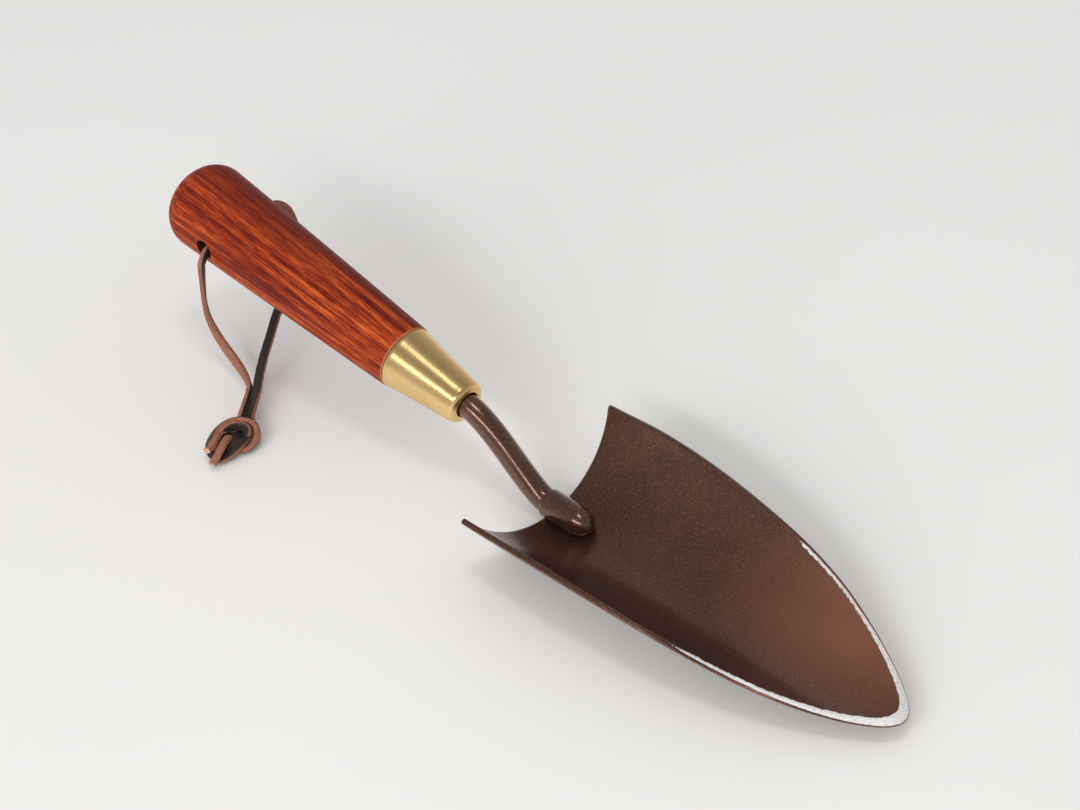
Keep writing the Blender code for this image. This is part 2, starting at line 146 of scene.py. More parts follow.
# Strap
LACE_WIDTH = 3.2
LACE_THICKNESS = 1.9
LACE_CORNER = 0.45
LACE_GAP = 0.05                 # each lace keeps this far from the middle of the pair
LACE_FUZZ = ((1.3, 0.10), (3.1, 0.09))  # how fine and how high the ragged surface is
HOLE_CENTRE = (-135.9, 0.0, 49.8)
NEAR_LEG = (
    (-135.6, -7.0, 49.8), (-135.1, -14.4, 49.2), (-134.8, -18.1, 46.2), (-135.2, -18.9, 41.7),
    (-137.1, -18.6, 35.0), (-138.9, -18.5, 26.5), (-138.9, -18.5, 19.0), (-136.1, -18.6, 12.9),
    (-131.3, -19.2, 9.0), (-125.7, -20.3, 7.4), (-119.1, -22.2, 6.8), (-113.4, -24.4, 6.5),
    (-109.2, -27.1, 6.0),
)
FAR_LEG = (
    (-135.9, 8.0, 49.8), (-135.6, 14.0, 49.7), (-135.0, 18.4, 49.2), (-132.8, 20.6, 46.4),
    (-130.9, 20.8, 40.4), (-128.9, 19.2, 33.2), (-126.7, 14.2, 25.2), (-125.7, 7.2, 19.6),
    (-123.5, 0.3, 16.0), (-119.2, -7.7, 12.4), (-115.0, -15.0, 9.6), (-110.0, -21.9, 7.5),
    (-106.4, -26.0, 6.8),
)
# Which way the smooth side faces at some of each leg's points, where 0 is the hole's middle
NEAR_GRAIN = ((0, (1.0, 0.0, 0.0)), (2, (0.8, 0.5, 0.2)), (4, (0.85, 0.5, 0.15)),
              (7, (0.2, 0.75, -0.3)), (10, (-0.1, 0.7, -0.6)), (13, (0.6, 0.75, 0.2)))
FAR_GRAIN = ((0, (0.3, 0.0, -1.0)), (2, (0.1, 0.5, -0.8)), (3, (-0.5, 0.5, -0.7)),
             (5, (-0.6, 0.3, -0.6)), (6, (-0.8, -0.5, 0.1)),
             (8, (0.25, -0.68, 0.64)), (11, (0.1, -0.4, 0.9)), (13, (-0.3, 0.0, 0.95)))
KNOT_CENTRE = (-97.2, -45.8, 0.0)
KNOT_TURN_DEG = 44.6            # the knot's own x, seen from above
KNOT_SCALE = 0.92
# The middle of the two laces through the knot: across, away and height in the knot's own frame,
# and how far the near and the far lace are turned about their run (0 stands on edge with its
# smooth side to the left of its run, 90 lies flat with it up)
KNOT_ROUTE = (
    (4.9, 10.8, 5.0, 10, 120), (4.4, 7.6, 3.2, 20, 110), (4.0, 4.4, 2.4, 50, 95),
    (3.6, 1.2, 3.2, 80, 90), (2.4, -2.2, 4.0, 90, 90), (0.2, -5.0, 3.4, 90, 90),
    (-2.8, -6.6, 2.0, 90, 80), (-5.6, -5.0, 1.7, 110, 60), (-7.2, -1.4, 2.3, 150, 50),
    (-6.6, 2.6, 3.6, 180, 45), (-3.8, 5.3, 5.0, 180, 45), (-0.2, 6.6, 5.6, 180, 40),
    (3.6, 5.8, 5.6, 165, 20), (6.8, 3.4, 5.0, 150, -10), (7.2, 0.0, 3.4, 135, -40),
    (5.4, -2.4, 2.0, 110, -60), (3.0, -1.2, 1.4, 80, -75), (0.8, 1.2, 1.6, 40, -80),
    (-1.4, 2.0, 2.8, 0, -75), (-3.2, 0.2, 4.6, -40, -70), (-4.4, -3.2, 5.2, -60, -65),
    (-5.4, -6.4, 5.0, -70, -60),
)
TAIL_ENDS = ((-7.2, -9.0, 5.2, -60, -60), (-8.6, -11.6, 2.4, -70, -60))

# Camera (the lens in millimetres)
CAMERA_TARGET = (-0.01858, 0.02923, 0.01)
CAMERA_DISTANCE = 0.8276
CAMERA_AZIMUTH_DEG = 49.84
CAMERA_ELEVATION_DEG = 41.95
CAMERA_ROLL_DEG = -7.85
CAMERA_LENS = 80.13

# Room: the world's strength, then what gloss mirrors at the floor and from ROOM_TOP upwards
WORLD_STRENGTH = 0.68
ROOM_LOW = 0.55
ROOM_HIGH = 0.28
ROOM_TOP = 0.8

TOOL = (Matrix.Translation((ORIGIN_SHIFT_X * MM, 0.0, HEEL_LIFT * MM))
        @ Matrix.Rotation(math.radians(REST_PITCH_DEG), 4, "Y"))


# ---- Helpers ----

def smooth_ramp(value, start, end):
    """0 before start, 1 after end, and an S curve between them."""
    share = min(max((value - start) / (end - start), 0.0), 1.0)
    return share * share * (3.0 - 2.0 * share)


def catmull_rom(points, per_span):
    """Points of a smooth curve through the given points."""
    ends = [points[0] * 2.0 - points[1]] + list(points) + [points[-1] * 2.0 - points[-2]]
    curve = []
    for a, b, c, d in zip(ends, ends[1:], ends[2:], ends[3:]):
        for step in range(per_span):
            t = step / per_span
            curve.append(0.5 * (2.0 * b + (c - a) * t + (2.0 * a - 5.0 * b + 4.0 * c - d) * t * t
                                + (3.0 * b - a - 3.0 * c + d) * t ** 3))
    curve.append(points[-1].copy())
    return curve


def revolve(profile, steps, axis="X", closed=False):
    """Turn (along, radius) points round an axis. A radius of 0 becomes a point on the axis."""
    build = bmesh.new()
    rings = []
    for along, radius in profile:
        if radius == 0.0:
            ring = [build.verts.new((along * MM, 0.0, 0.0))]
        else:
            angles = (2.0 * math.pi * step / steps for step in range(steps))
            ring = [
                build.verts.new((along * MM, radius * MM * math.cos(a), radius * MM * math.sin(a)))
                for a in angles
            ]
        rings.append(ring)
    pairs = list(zip(rings, rings[1:]))
    if closed:
        pairs.append((rings[-1], rings[0]))
    for ring, other in pairs:
        for step in range(steps):
            after = (step + 1) % steps
            corners = [ring[step % len(ring)], ring[after % len(ring)],
                       other[after % len(other)], other[step % len(other)]]
            unique = list(dict.fromkeys(corners))
            if len(unique) > 2:
                build.faces.new(unique)
    if axis == "Y":
        for vertex in build.verts:
            vertex.co = Vector((vertex.co.y, vertex.co.x, vertex.co.z))
    return build


def add_mesh(name, build, place=Matrix.Identity(4), sharp_deg=35.0):
    """Close a bmesh into a smooth-shaded object at a place in the row frame."""
    bmesh.ops.recalc_face_normals(build, faces=build.faces)
    mesh = bpy.data.meshes.new(name)
    build.to_mesh(mesh)
    build.free()
    for polygon in mesh.polygons:
        polygon.use_smooth = True
    mesh.set_sharp_from_angle(angle=math.radians(sharp_deg))
    obj = bpy.data.objects.new(name, mesh)
    bpy.context.scene.collection.objects.link(obj)
    obj.matrix_world = place
    return obj


def finish_piece(obj, material, body, nodes):
    """Give a piece its material, its CAD body and the CAD nodes it stands for."""
    obj.data.materials.append(material)
    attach(obj, body)
    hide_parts(*nodes)
    return obj


# ---- Material helpers ----

class Nodes:
    """A material's node tree, with short calls to add and join nodes."""

    def __init__(self, name):
        self.material = bpy.data.materials.new(name)
        self.material.use_nodes = True
        self.tree = self.material.node_tree
        self.shader = self.tree.nodes["Principled BSDF"]

    def add(self, kind, inputs=None, **settings):
        made = self.tree.nodes.new("ShaderNode" + kind)
        for key, value in settings.items():
            setattr(made, key, value)
        for key, value in (inputs or {}).items():
            self.join(value, made.inputs[key])
        return made

    def join(self, value, socket):
        if isinstance(value, bpy.types.NodeSocket):
            self.tree.links.new(value, socket)
        else:
            socket.default_value = value

    def math(self, operation, a, b):
        return self.add("Math", {0: a, 1: b}, operation=operation).outputs[0]

    def ramp(self, value, *stops):
        """A colour ramp; each stop is a position and a colour or a grey."""
        made = self.add("ValToRGB", {"Fac": value})
        elements = made.color_ramp.elements
        while len(elements) < len(stops):
            elements.new(0.5)
        for element, (position, colour) in zip(elements, stops):
            element.position = position
            if isinstance(colour, (int, float)):
                colour = (colour, colour, colour)
            element.color = (*colour, 1.0)
        return made.outputs["Color"]

    def mix(self, factor, a, b):
        """Mix two colours, each a socket or three numbers."""
        made = self.add("Mix", {"Factor": factor}, data_type="RGBA")
        for name, colour in (("A", a), ("B", b)):
            linked = isinstance(colour, bpy.types.NodeSocket)
            self.join(colour if linked else (*colour, 1.0), made.inputs[name])
        return made.outputs["Result"]

    def mix_value(self, factor, a, b):
        made = self.add("Mix", {"Factor": factor, "A": a, "B": b}, data_type="FLOAT")
        return made.outputs["Result"]

    def place(self, scale=(1.0, 1.0, 1.0)):
        """Object coordinates in millimetres, stretched by scale."""
        source = self.add("TexCoord").outputs["Object"]
        factors = [value / MM for value in scale]
        return self.add("Mapping", {"Vector": source, "Scale": factors}).outputs["Vector"]

    def noise(self, vector, scale, detail, roughness):
        made = self.add("TexNoise", {"Vector": vector, "Scale": scale, "Detail": detail,
                                     "Roughness": roughness})
        return made.outputs["Fac"]

    def bump(self, height, strength, distance_mm):
        inputs = {"Height": height, "Strength": strength, "Distance": distance_mm * MM}
        return self.add("Bump", inputs).outputs["Normal"]

    def set(self, **inputs):
        """Set or link the surface shader's inputs, and return the material."""
        for key, value in inputs.items():
            self.join(value, self.shader.inputs[key.replace("_", " ")])
        return self.material


# ---- Materials ----

def wood_grain(n):
    """Colour and height of long straight grain. Its numbers are per millimetre."""
    straight = n.place((0.005, 1.0, 1.0))
    drift = n.noise(straight, 0.35, 2.0, 0.5)
    shift = n.add("CombineXYZ", {"Y": drift, "Z": drift}).outputs[0]
    bent = n.add("VectorMath", {0: straight, 1: shift}, operation="ADD").outputs[0]
    broad = n.noise(bent, 0.12, 2.0, 0.5)
    rings = n.noise(bent, 0.40, 3.0, 0.55)
    lines = n.noise(bent, 2.8, 3.0, 0.6)
    grain = n.math("ADD", n.math("MULTIPLY", rings, 0.50), n.math("MULTIPLY", lines, 0.50))
    colour = n.ramp(grain, (0.34, (0.070, 0.007, 0.005)), (0.44, (0.15, 0.014, 0.007)),
                    (0.53, (0.32, 0.042, 0.011)), (0.64, (0.64, 0.128, 0.023)))
    # Random tone and painted shade: broad patches of the wood are darker red, and the side away from
    # the strap's knot, which faces away from the lights, is painted darker still
    across = n.add("SeparateXYZ", {"Vector": n.place()}).outputs["Y"]
    # Painted shade: the darkening grows towards +y, the side away from the lights
    side = n.math("MULTIPLY", across, 0.018)
    dark_tone_and_far_shade = n.ramp(n.math("ADD", broad, side), (0.38, 0.0), (0.56, 1.0))
    return n.mix(n.math("MULTIPLY", dark_tone_and_far_shade, 0.88), colour, (0.13, 0.016, 0.010)), grain


def varnished_wood():
    """Straight-grained red hardwood with dark pores, under a clear varnish."""
    n = Nodes("varnished_wood_grain")
    colour, grain = wood_grain(n)
    pores = n.ramp(n.noise(n.place((0.03, 1.0, 1.0)), 3.0, 2.0, 0.6), (0.60, 0.0), (0.68, 1.0))
    colour = n.mix(n.math("MULTIPLY", pores, 0.55), colour, (0.035, 0.006, 0.005))
    # Painted highlight: the chamfered rim at the ferrule is made a paler pinkish wood, standing in
    # for the light it catches. Painted shade: the inside of the strap hole is made near black
    place = n.add("SeparateXYZ", {"Vector": n.place()})
    # Painted highlight mask: the chamfered rim at the joint
    rim = n.math("MULTIPLY", n.math("GREATER_THAN", place.outputs["X"], -0.6 * JOINT_CHAMFER),
                 n.math("LESS_THAN", place.outputs["X"], 0.1))
    colour = n.mix(n.math("MULTIPLY", rim, 0.75), colour, (0.62, 0.24, 0.12))
    away = n.add("CombineXYZ", {"X": n.math("ADD", place.outputs["X"], HOLE_FROM_JOINT),
                                "Z": place.outputs["Z"]}).outputs[0]
    reach = n.add("VectorMath", {0: away}, operation="LENGTH").outputs["Value"]
    # Painted shade: near black inside the strap hole, where its walls shade it
    inside = n.math("LESS_THAN", reach, HOLE_RADIUS + 0.35)
    colour = n.mix(n.math("MULTIPLY", inside, 0.9), colour, (0.010, 0.005, 0.004))
    height = n.math("SUBTRACT", grain, n.math("MULTIPLY", pores, 0.5))
    return n.set(Base_Color=colour, Roughness=0.5, Specular_IOR_Level=0.0, Coat_Weight=0.25,
                 Coat_Roughness=0.22, Normal=n.bump(height, 0.2, 0.04))


def satin_brass():
    """Lathe-turned brass: fine rings round the axis, and faint scuffs along it."""
    n = Nodes("satin_turned_brass")
    rings = n.noise(n.place((4.0, 0.02, 0.02)), 1.0, 2.0, 0.5)
    scuffs = n.noise(n.place((0.10, 2.0, 2.0)), 1.0, 3.0, 0.6)
    cloud = n.noise(n.place((0.3, 1.0, 1.0)), 0.16, 2.0, 0.5)
    colour = n.ramp(cloud, (0.35, (0.83, 0.57, 0.24)), (0.65, (0.90, 0.64, 0.30)))
    colour = n.mix(n.ramp(scuffs, (0.58, 0.0), (0.75, 0.20)), colour, (0.50, 0.33, 0.12))
    rough = n.ramp(scuffs, (0.3, 0.25), (0.7, 0.28))
    return n.set(Base_Color=colour, Metallic=1.0, Roughness=rough,
                 Normal=n.bump(rings, 0.10, 0.0003))


def bronze_coat(n, vector):
    """Colour, roughness and height of the fine metallic powder coat."""
    spark = n.noise(vector, 1.9, 2.0, 0.5)
    cloud = n.noise(vector, 0.05, 3.0, 0.55)
    peel = n.noise(vector, 2.2, 2.0, 0.6)
    colour = n.ramp(cloud, (0.35, (0.115, 0.053, 0.033)), (0.65, (0.150, 0.069, 0.043)))
    colour = n.mix(n.ramp(spark, (0.54, 0.0), (0.74, 0.50)), colour, (0.50, 0.26, 0.16))
    colour = n.mix(n.ramp(spark, (0.28, 0.50), (0.46, 0.0)), colour, (0.05, 0.026, 0.018))
    rough = n.mix_value(spark, 0.38, 0.25)
    height = n.math("ADD", n.math("MULTIPLY", peel, 0.7), n.math("MULTIPLY", spark, 0.3))
    return colour, rough, height


def coated_steel():
    """The coat as it lies on the rod and the socket: smoother and glossier."""
    n = Nodes("bronze_powder_coat")
    colour, _, height = bronze_coat(n, n.place())
    return n.set(Base_Color=colour, Metallic=0.85, Roughness=0.24, Coat_Weight=0.8,
                 Coat_Roughness=0.14, Normal=n.bump(height, 0.25, 0.006))


def coated_blade():
    """The same coat, with the ground edge's bare steel where the grind layer is above zero."""
    n = Nodes("bronze_powder_coat_ground_edge")
    vector = n.place()
    colour, rough, height = bronze_coat(n, vector)
    # Painted reflection: a coppery glow is painted into the coat's colour in a patch near the tip,
    # on the left of the spine
    scale = (1.0 / PAINTED_GLOW_REACH[0], 1.0 / PAINTED_GLOW_REACH[1], 0.0)
    shift = (-PAINTED_GLOW_CENTRE[0] / PAINTED_GLOW_REACH[0], -PAINTED_GLOW_CENTRE[1] / PAINTED_GLOW_REACH[1], 0.0)
    away = n.add("Mapping", {"Vector": vector, "Location": shift, "Scale": scale})
    reach = n.add("VectorMath", {0: away.outputs["Vector"]}, operation="LENGTH").outputs["Value"]
    painted_glow = n.ramp(reach, (0.0, 0.85), (1.0, 0.0))
    colour = n.mix(painted_glow, colour, (0.46, 0.185, 0.110))
    layer = n.add("Attribute", attribute_name="grind").outputs["Fac"]
    ragged = n.math("SUBTRACT", n.noise(vector, 0.7, 4.0, 0.65), 0.5)
    bare = n.ramp(n.math("ADD", layer, ragged), (0.0, 0.0), (0.12, 1.0))
    scratches = n.noise(vector, 3.0, 4.0, 0.75)
    steel = n.ramp(scratches, (0.36, (0.34, 0.33, 0.32)), (0.50, (0.88, 0.87, 0.86)))
    colour = n.mix(bare, colour, steel)
    rough = n.mix_value(bare, rough, 0.5)
    metallic = n.mix_value(bare, 0.85, 0.35)
    height = n.mix_value(bare, height, scratches)
    coat = n.mix_value(bare, 0.4, 0.0)
    return n.set(Base_Color=colour, Metallic=metallic, Roughness=rough, Coat_Weight=coat,
                 Coat_Roughness=0.15, Normal=n.bump(height, 0.25, 0.012))


def leather():
    """Split leather lace: dark smooth grain side, tan fuzzy flesh side and raw cut ends."""
    n = Nodes("leather_lace_two_sided")
    vector = n.place()
    side = n.add("Attribute", attribute_name="grain_side").outputs["Fac"]
    end = n.add("Attribute", attribute_name="cut_end").outputs["Fac"]
    fuzz = n.noise(vector, 2.2, 5.0, 0.7)
    fibres = n.noise(vector, 6.0, 3.0, 0.7)
    tan = n.ramp(n.math("ADD", n.math("MULTIPLY", fuzz, 0.6), n.math("MULTIPLY", fibres, 0.4)),
                 (0.34, (0.110, 0.038, 0.021)), (0.50, (0.29, 0.112, 0.064)),
                 (0.66, (0.55, 0.28, 0.18)))
    grain = n.ramp(fuzz, (0.35, (0.014, 0.010, 0.009)), (0.70, (0.040, 0.028, 0.023)))
    smooth = n.ramp(n.math("ADD", side, n.math("MULTIPLY", n.math("SUBTRACT", fuzz, 0.5), 0.5)),
                    (0.45, 0.0), (0.55, 1.0))
    colour = n.mix(smooth, tan, grain)
    raw = n.ramp(fibres, (0.35, (0.40, 0.20, 0.12)), (0.65, (0.72, 0.47, 0.33)))
    colour = n.mix(end, colour, raw)
    rough = n.mix_value(smooth, 0.92, 0.48)
    height = n.mix_value(smooth, n.math("ADD", fuzz, fibres), n.noise(vector, 3.0, 2.0, 0.5))
    return n.set(Base_Color=colour, Roughness=rough, Normal=n.bump(height, 0.6, 0.15))


def cured_adhesive():
    """Mottled amber bedding round the tang."""
    n = Nodes("cured_adhesive_mottled")
    cloud = n.noise(n.place(), 0.8, 3.0, 0.6)
    colour = n.ramp(cloud, (0.3, (0.42, 0.31, 0.15)), (0.7, (0.60, 0.47, 0.26)))
    return n.set(Base_Color=colour, Roughness=0.45, Normal=n.bump(cloud, 0.3, 0.1))


def floor_material():
    """Plain, very slightly uneven off-white."""
    n = Nodes("plain_pale_floor")
    cloud = n.noise(n.place(), 0.004, 2.0, 0.5)
    colour = n.ramp(cloud, (0.3, (0.80, 0.79, 0.775)), (0.7, (0.82, 0.81, 0.795)))
    return n.set(Base_Color=colour, Roughness=0.6)


# ---- Handle ----

def handle_radius(back):
    """Radius of the wood at a distance back from the joint, before the dome."""
    share = back / HANDLE_LENGTH
    return JOINT_RADIUS + HANDLE_SWELL[0] * share + HANDLE_SWELL[1] * share * share


def handle_profile():
    """(along, radius) points of the wood: domed butt, side, chamfer, tenon and tang bore."""
    rim = handle_radius(DOME_START)
    dome_end = DOME_DEPTH * (1.0 - (BUTT_FLAT_RADIUS / rim) ** DOME_POWER) ** (1.0 / DOME_POWER)
    points = [(-DOME_START - dome_end, 0.0), (-DOME_START - dome_end, BUTT_FLAT_RADIUS)]
    dome_steps = 26
    end_angle = math.asin((dome_end / DOME_DEPTH) ** (DOME_POWER / 2.0))
    for step in range(1, dome_steps):
        angle = end_angle * (1.0 - step / dome_steps)
        points.append((-DOME_START - DOME_DEPTH * math.sin(angle) ** (2.0 / DOME_POWER),
                       rim * math.cos(angle) ** (2.0 / DOME_POWER)))
    side_steps = 60
    for step in range(side_steps):
        back = DOME_START + (JOINT_CHAMFER - DOME_START) * step / (side_steps - 1)
        points.append((-back, handle_radius(back)))
    for angle in (0.25, 0.5, 0.75, 1.0):
        turn = 0.5 * math.pi * angle
        points.append((-JOINT_CHAMFER * (1.0 - math.sin(turn)),
                       JOINT_RADIUS - JOINT_CHAMFER * (1.0 - math.cos(turn))))
    points += [(0.0, TENON_RADII[0]), (TENON_LENGTH, TENON_RADII[1]),
               (TENON_LENGTH, TANG_BORE_RADIUS), (-TANG_LENGTH, TANG_BORE_RADIUS),
               (-TANG_LENGTH - TANG_BORE_POINT, 0.0)]
    return points


def hole_cutter():
    """A solid for the strap's cross hole, with both of its mouths flared."""
    flare = [(-HOLE_CUTTER_REACH, 0.0), (-HOLE_CUTTER_REACH, HOLE_MOUTH_RADIUS),
             (-HOLE_FLARE_END, HOLE_MOUTH_RADIUS)]
    steps = 6
    rise = HOLE_MOUTH_RADIUS - HOLE_RADIUS
    run = HOLE_FLARE_END - HOLE_FLARE_START
    for step in range(1, steps + 1):
        angle = 0.5 * math.pi * step / steps
        flare.append((-HOLE_FLARE_END + run * math.sin(angle),
                      HOLE_RADIUS + rise * (1.0 - math.sin(angle)) ** 1.4))
    flare += [(-along, radius) for along, radius in reversed(flare)]
    cutter = add_mesh("hole_cutter", revolve(flare, 64, axis="Y"))
    cutter.location = (-HOLE_FROM_JOINT * MM, 0.0, 0.0)
    return cutter


def make_handle(material):
    handle = add_mesh("handle_wood", revolve(handle_profile(), 128))
    cutter = hole_cutter()
    hole = handle.modifiers.new("hole", "BOOLEAN")
    hole.solver = "EXACT"
    hole.object = cutter
    bpy.context.view_layer.update()
    graph = bpy.context.evaluated_depsgraph_get()
    drilled = bpy.data.meshes.new_from_object(handle.evaluated_get(graph))
    handle.modifiers.clear()
    handle.data = drilled
    handle.data.materials.clear()
    bpy.data.objects.remove(cutter, do_unlink=True)
    for polygon in drilled.polygons:
        polygon.use_smooth = True
    drilled.set_sharp_from_angle(angle=math.radians(35))
    handle.matrix_world = TOOL
    return finish_piece(handle, material, "trowel", ["handle"])


# ---- Ferrule ----

def make_ferrule(material):
    """A brass thimble: tapered side, rounded nose with the rod's opening, and hollow inside."""
    nose_centre = FERRULE_LENGTH - FERRULE_NOSE_ROUND
    slope = (FERRULE_NOSE_RADIUS - FERRULE_REAR_RADIUS) / (nose_centre - FERRULE_GAP)
    outer = [(FERRULE_GAP, FERRULE_REAR_RADIUS - FERRULE_EDGE_ROUND)]
    for angle in (0.35, 0.7, 1.0):
        turn = 0.5 * math.pi * angle
        outer.append((FERRULE_GAP + FERRULE_EDGE_ROUND * (1.0 - math.cos(turn)),
                      FERRULE_REAR_RADIUS - FERRULE_EDGE_ROUND * (1.0 - math.sin(turn))))
    side_start = FERRULE_GAP + FERRULE_EDGE_ROUND
    side_steps = 24
    for step in range(1, side_steps):
        along = side_start + (nose_centre - side_start) * step / side_steps
        outer.append((along, FERRULE_REAR_RADIUS + slope * (along - FERRULE_GAP)))
    round_steps = 14
    for step in range(round_steps + 1):
        angle = 0.5 * math.pi * step / round_steps
        outer.append((nose_centre + FERRULE_NOSE_ROUND * math.sin(angle),
                      FERRULE_NOSE_RADIUS - FERRULE_NOSE_ROUND * (1.0 - math.cos(angle))))
    for angle in (0.0, 0.33, 0.67, 1.0):
        turn = 0.5 * math.pi * angle
        outer.append((FERRULE_LENGTH - FERRULE_LIP_ROUND * (1.0 - math.cos(turn)),
                      FERRULE_OPENING_RADIUS + FERRULE_LIP_ROUND * (1.0 - math.sin(turn))))
    cavity_end = FERRULE_LENGTH - FERRULE_NOSE_WALL
    cavity_radius = FERRULE_REAR_RADIUS + slope * (cavity_end - FERRULE_GAP) - FERRULE_WALL
    inner = [(cavity_end, FERRULE_OPENING_RADIUS), (cavity_end, cavity_radius),
             (FERRULE_GAP, FERRULE_REAR_RADIUS - FERRULE_WALL)]
    ferrule = add_mesh("ferrule_brass", revolve(outer + inner, 128, closed=True), TOOL)
    return finish_piece(ferrule, material, "trowel", ["ferrule"])


# ---- Blade ----

def outline_point(u):
    """Length and half-width of the blade's outline, from the rear corner (0) to the tip (1)."""
    along = -CORNER_BACK + (BLADE_LENGTH + CORNER_BACK) * math.sin(0.5 * math.pi * u)
    last = len(HALF_WIDTHS) - 1
    position = u * last
    index = min(int(position), last - 1)
    share = position - index
    value = [HALF_WIDTHS[min(max(index + offset, 0), last)] for offset in (-1, 0, 1, 2)]
    if index == last - 1:
        value[3] = -value[1]
    a, b, c, d = value
    half = 0.5 * (2 * b + (c - a) * share + (2 * a - 5 * b + 4 * c - d) * share ** 2
                  + (3 * b - a - 3 * c + d) * share ** 3)
    return along, max(half, 0.0)


def grind_shown(u):
    """How much of the full grind there is at a share of the outline."""
    return smooth_ramp(u, GROUND_START, GROUND_FULL)


def grind_line_point(u):
    """Length and half-width of the line where the ground edge starts, inside the outline."""
    along, half = outline_point(u)
    shown = grind_shown(u)
    side = UNGROUND_SIDE + (GROUND_SIDE - UNGROUND_SIDE) * shown
    side *= min(1.0, half / TIP_HALF_WIDTH)
    forward = (along + CORNER_BACK) / (BLADE_LENGTH + CORNER_BACK)
    back = GROUND_TIP * forward ** GROUND_TIP_POWER
    return along - back * shown, half - side


def dish_point(along, across, depth):
    """A point of the blade in the handle's frame, at a depth below its inner face."""
    radius = SECTION_RADIUS - SECTION_TAPER * along
    angle = math.asin(across / radius)
    sideways = (radius + depth) * math.sin(angle)
    rise = (radius - (radius + depth) * math.cos(angle)
            + SPINE_BOW * along ** 2 - SPINE_RELAX * along ** 3)
    pitch = math.radians(BLADE_PITCH_DEG)
    return Vector((HEEL_X + along * math.cos(pitch) - rise * math.sin(pitch), sideways,
                   HEEL_Z + along * math.sin(pitch) + rise * math.cos(pitch)))


def across_row(u, point, columns):
    """(along, across) places from one side to the other, bowed forward near the heel."""
    along, half = point
    bow = CORNER_BACK * max(0.0, 1.0 - u / REAR_BOW_END) ** 2
    radius = SECTION_RADIUS - SECTION_TAPER * along
    reach = math.asin(half / radius)
    row = []
    for column in range(columns + 1):
        t = 2.0 * column / columns - 1.0
        row.append((along + bow * (1.0 - t * t), radius * math.sin(reach * t)))
    return row


def between(outline, grind_line, share):
    """The point a share of the way from the outline to the grind line."""
    return (outline[0] + (grind_line[0] - outline[0]) * share,
            outline[1] + (grind_line[1] - outline[1]) * share)


def blade_rim(u, width):
    """How far one edge is broken, and its (share, depth, kind) rows from the grind to the back."""
    ground = (BLADE_THICKNESS - EDGE_THICKNESS) * grind_shown(u)
    edge_break = min(EDGE_BREAK, (BLADE_THICKNESS - ground) * 0.3)
    corner = 0.3 * edge_break
    burr = min(BURR_WIDTH / width, 0.5)
    return edge_break, [
        (burr, ground * (1.0 - burr), ON_GRIND),
        (corner / width, ground + corner, ON_BURR),
        (0.0, ground + edge_break, ON_BURR),
        (0.0, BLADE_THICKNESS - edge_break, ON_BACK),
        (corner / width, BLADE_THICKNESS - corner, ON_BACK),
    ]


def blade_loop(u, forward=0.0, squeeze=0.0):
    """One closed section of the blade: (along, across, depth, kind) round it.

    It starts with the row on the inner face. The back row comes after one edge's rim and runs the
    other way, and the other edge's rim comes last.
    """
    along, half = outline_point(u)
    outline = (along + forward, half)
    along, half = grind_line_point(u)
    grind_line = (along + forward, half)
    width = math.dist(outline, grind_line)
    edge_break, rim = blade_rim(u, width)
    inner = across_row(u, grind_line, BLADE_COLUMNS)
    outer = across_row(u, between(outline, grind_line, min(edge_break / width, 0.7)),
                       BLADE_COLUMNS)
    loop = [(*place, 0.0, ON_FACE) for place in inner]
    sides = []
    for share, depth, kind in rim:
        right, left = across_row(u, between(outline, grind_line, share), 1)
        sides.append([(*right, depth, kind), (*left, depth, kind)])
    loop += [pair[1] for pair in sides]
    loop += [(*place, BLADE_THICKNESS, ON_BACK) for place in reversed(outer)]
    loop += [pair[0] for pair in reversed(sides)]
    middle = 0.5 * BLADE_THICKNESS
    keep = 1.0 - squeeze / middle
    return [(along, across, middle + (depth - middle) * keep, kind)
            for along, across, depth, kind in loop]


def grind_line_tree():
    """A search tree over the grind line's points on both sides of the spine."""
    tree = kdtree.KDTree(2 * BLADE_ROWS + 2)
    for index in range(BLADE_ROWS + 1):
        along, half = grind_line_point(index / BLADE_ROWS)
        for side in (-1, 1):
            tree.insert((along, side * half, 0.0), 2 * index + (side > 0))
    tree.balance()
    return tree


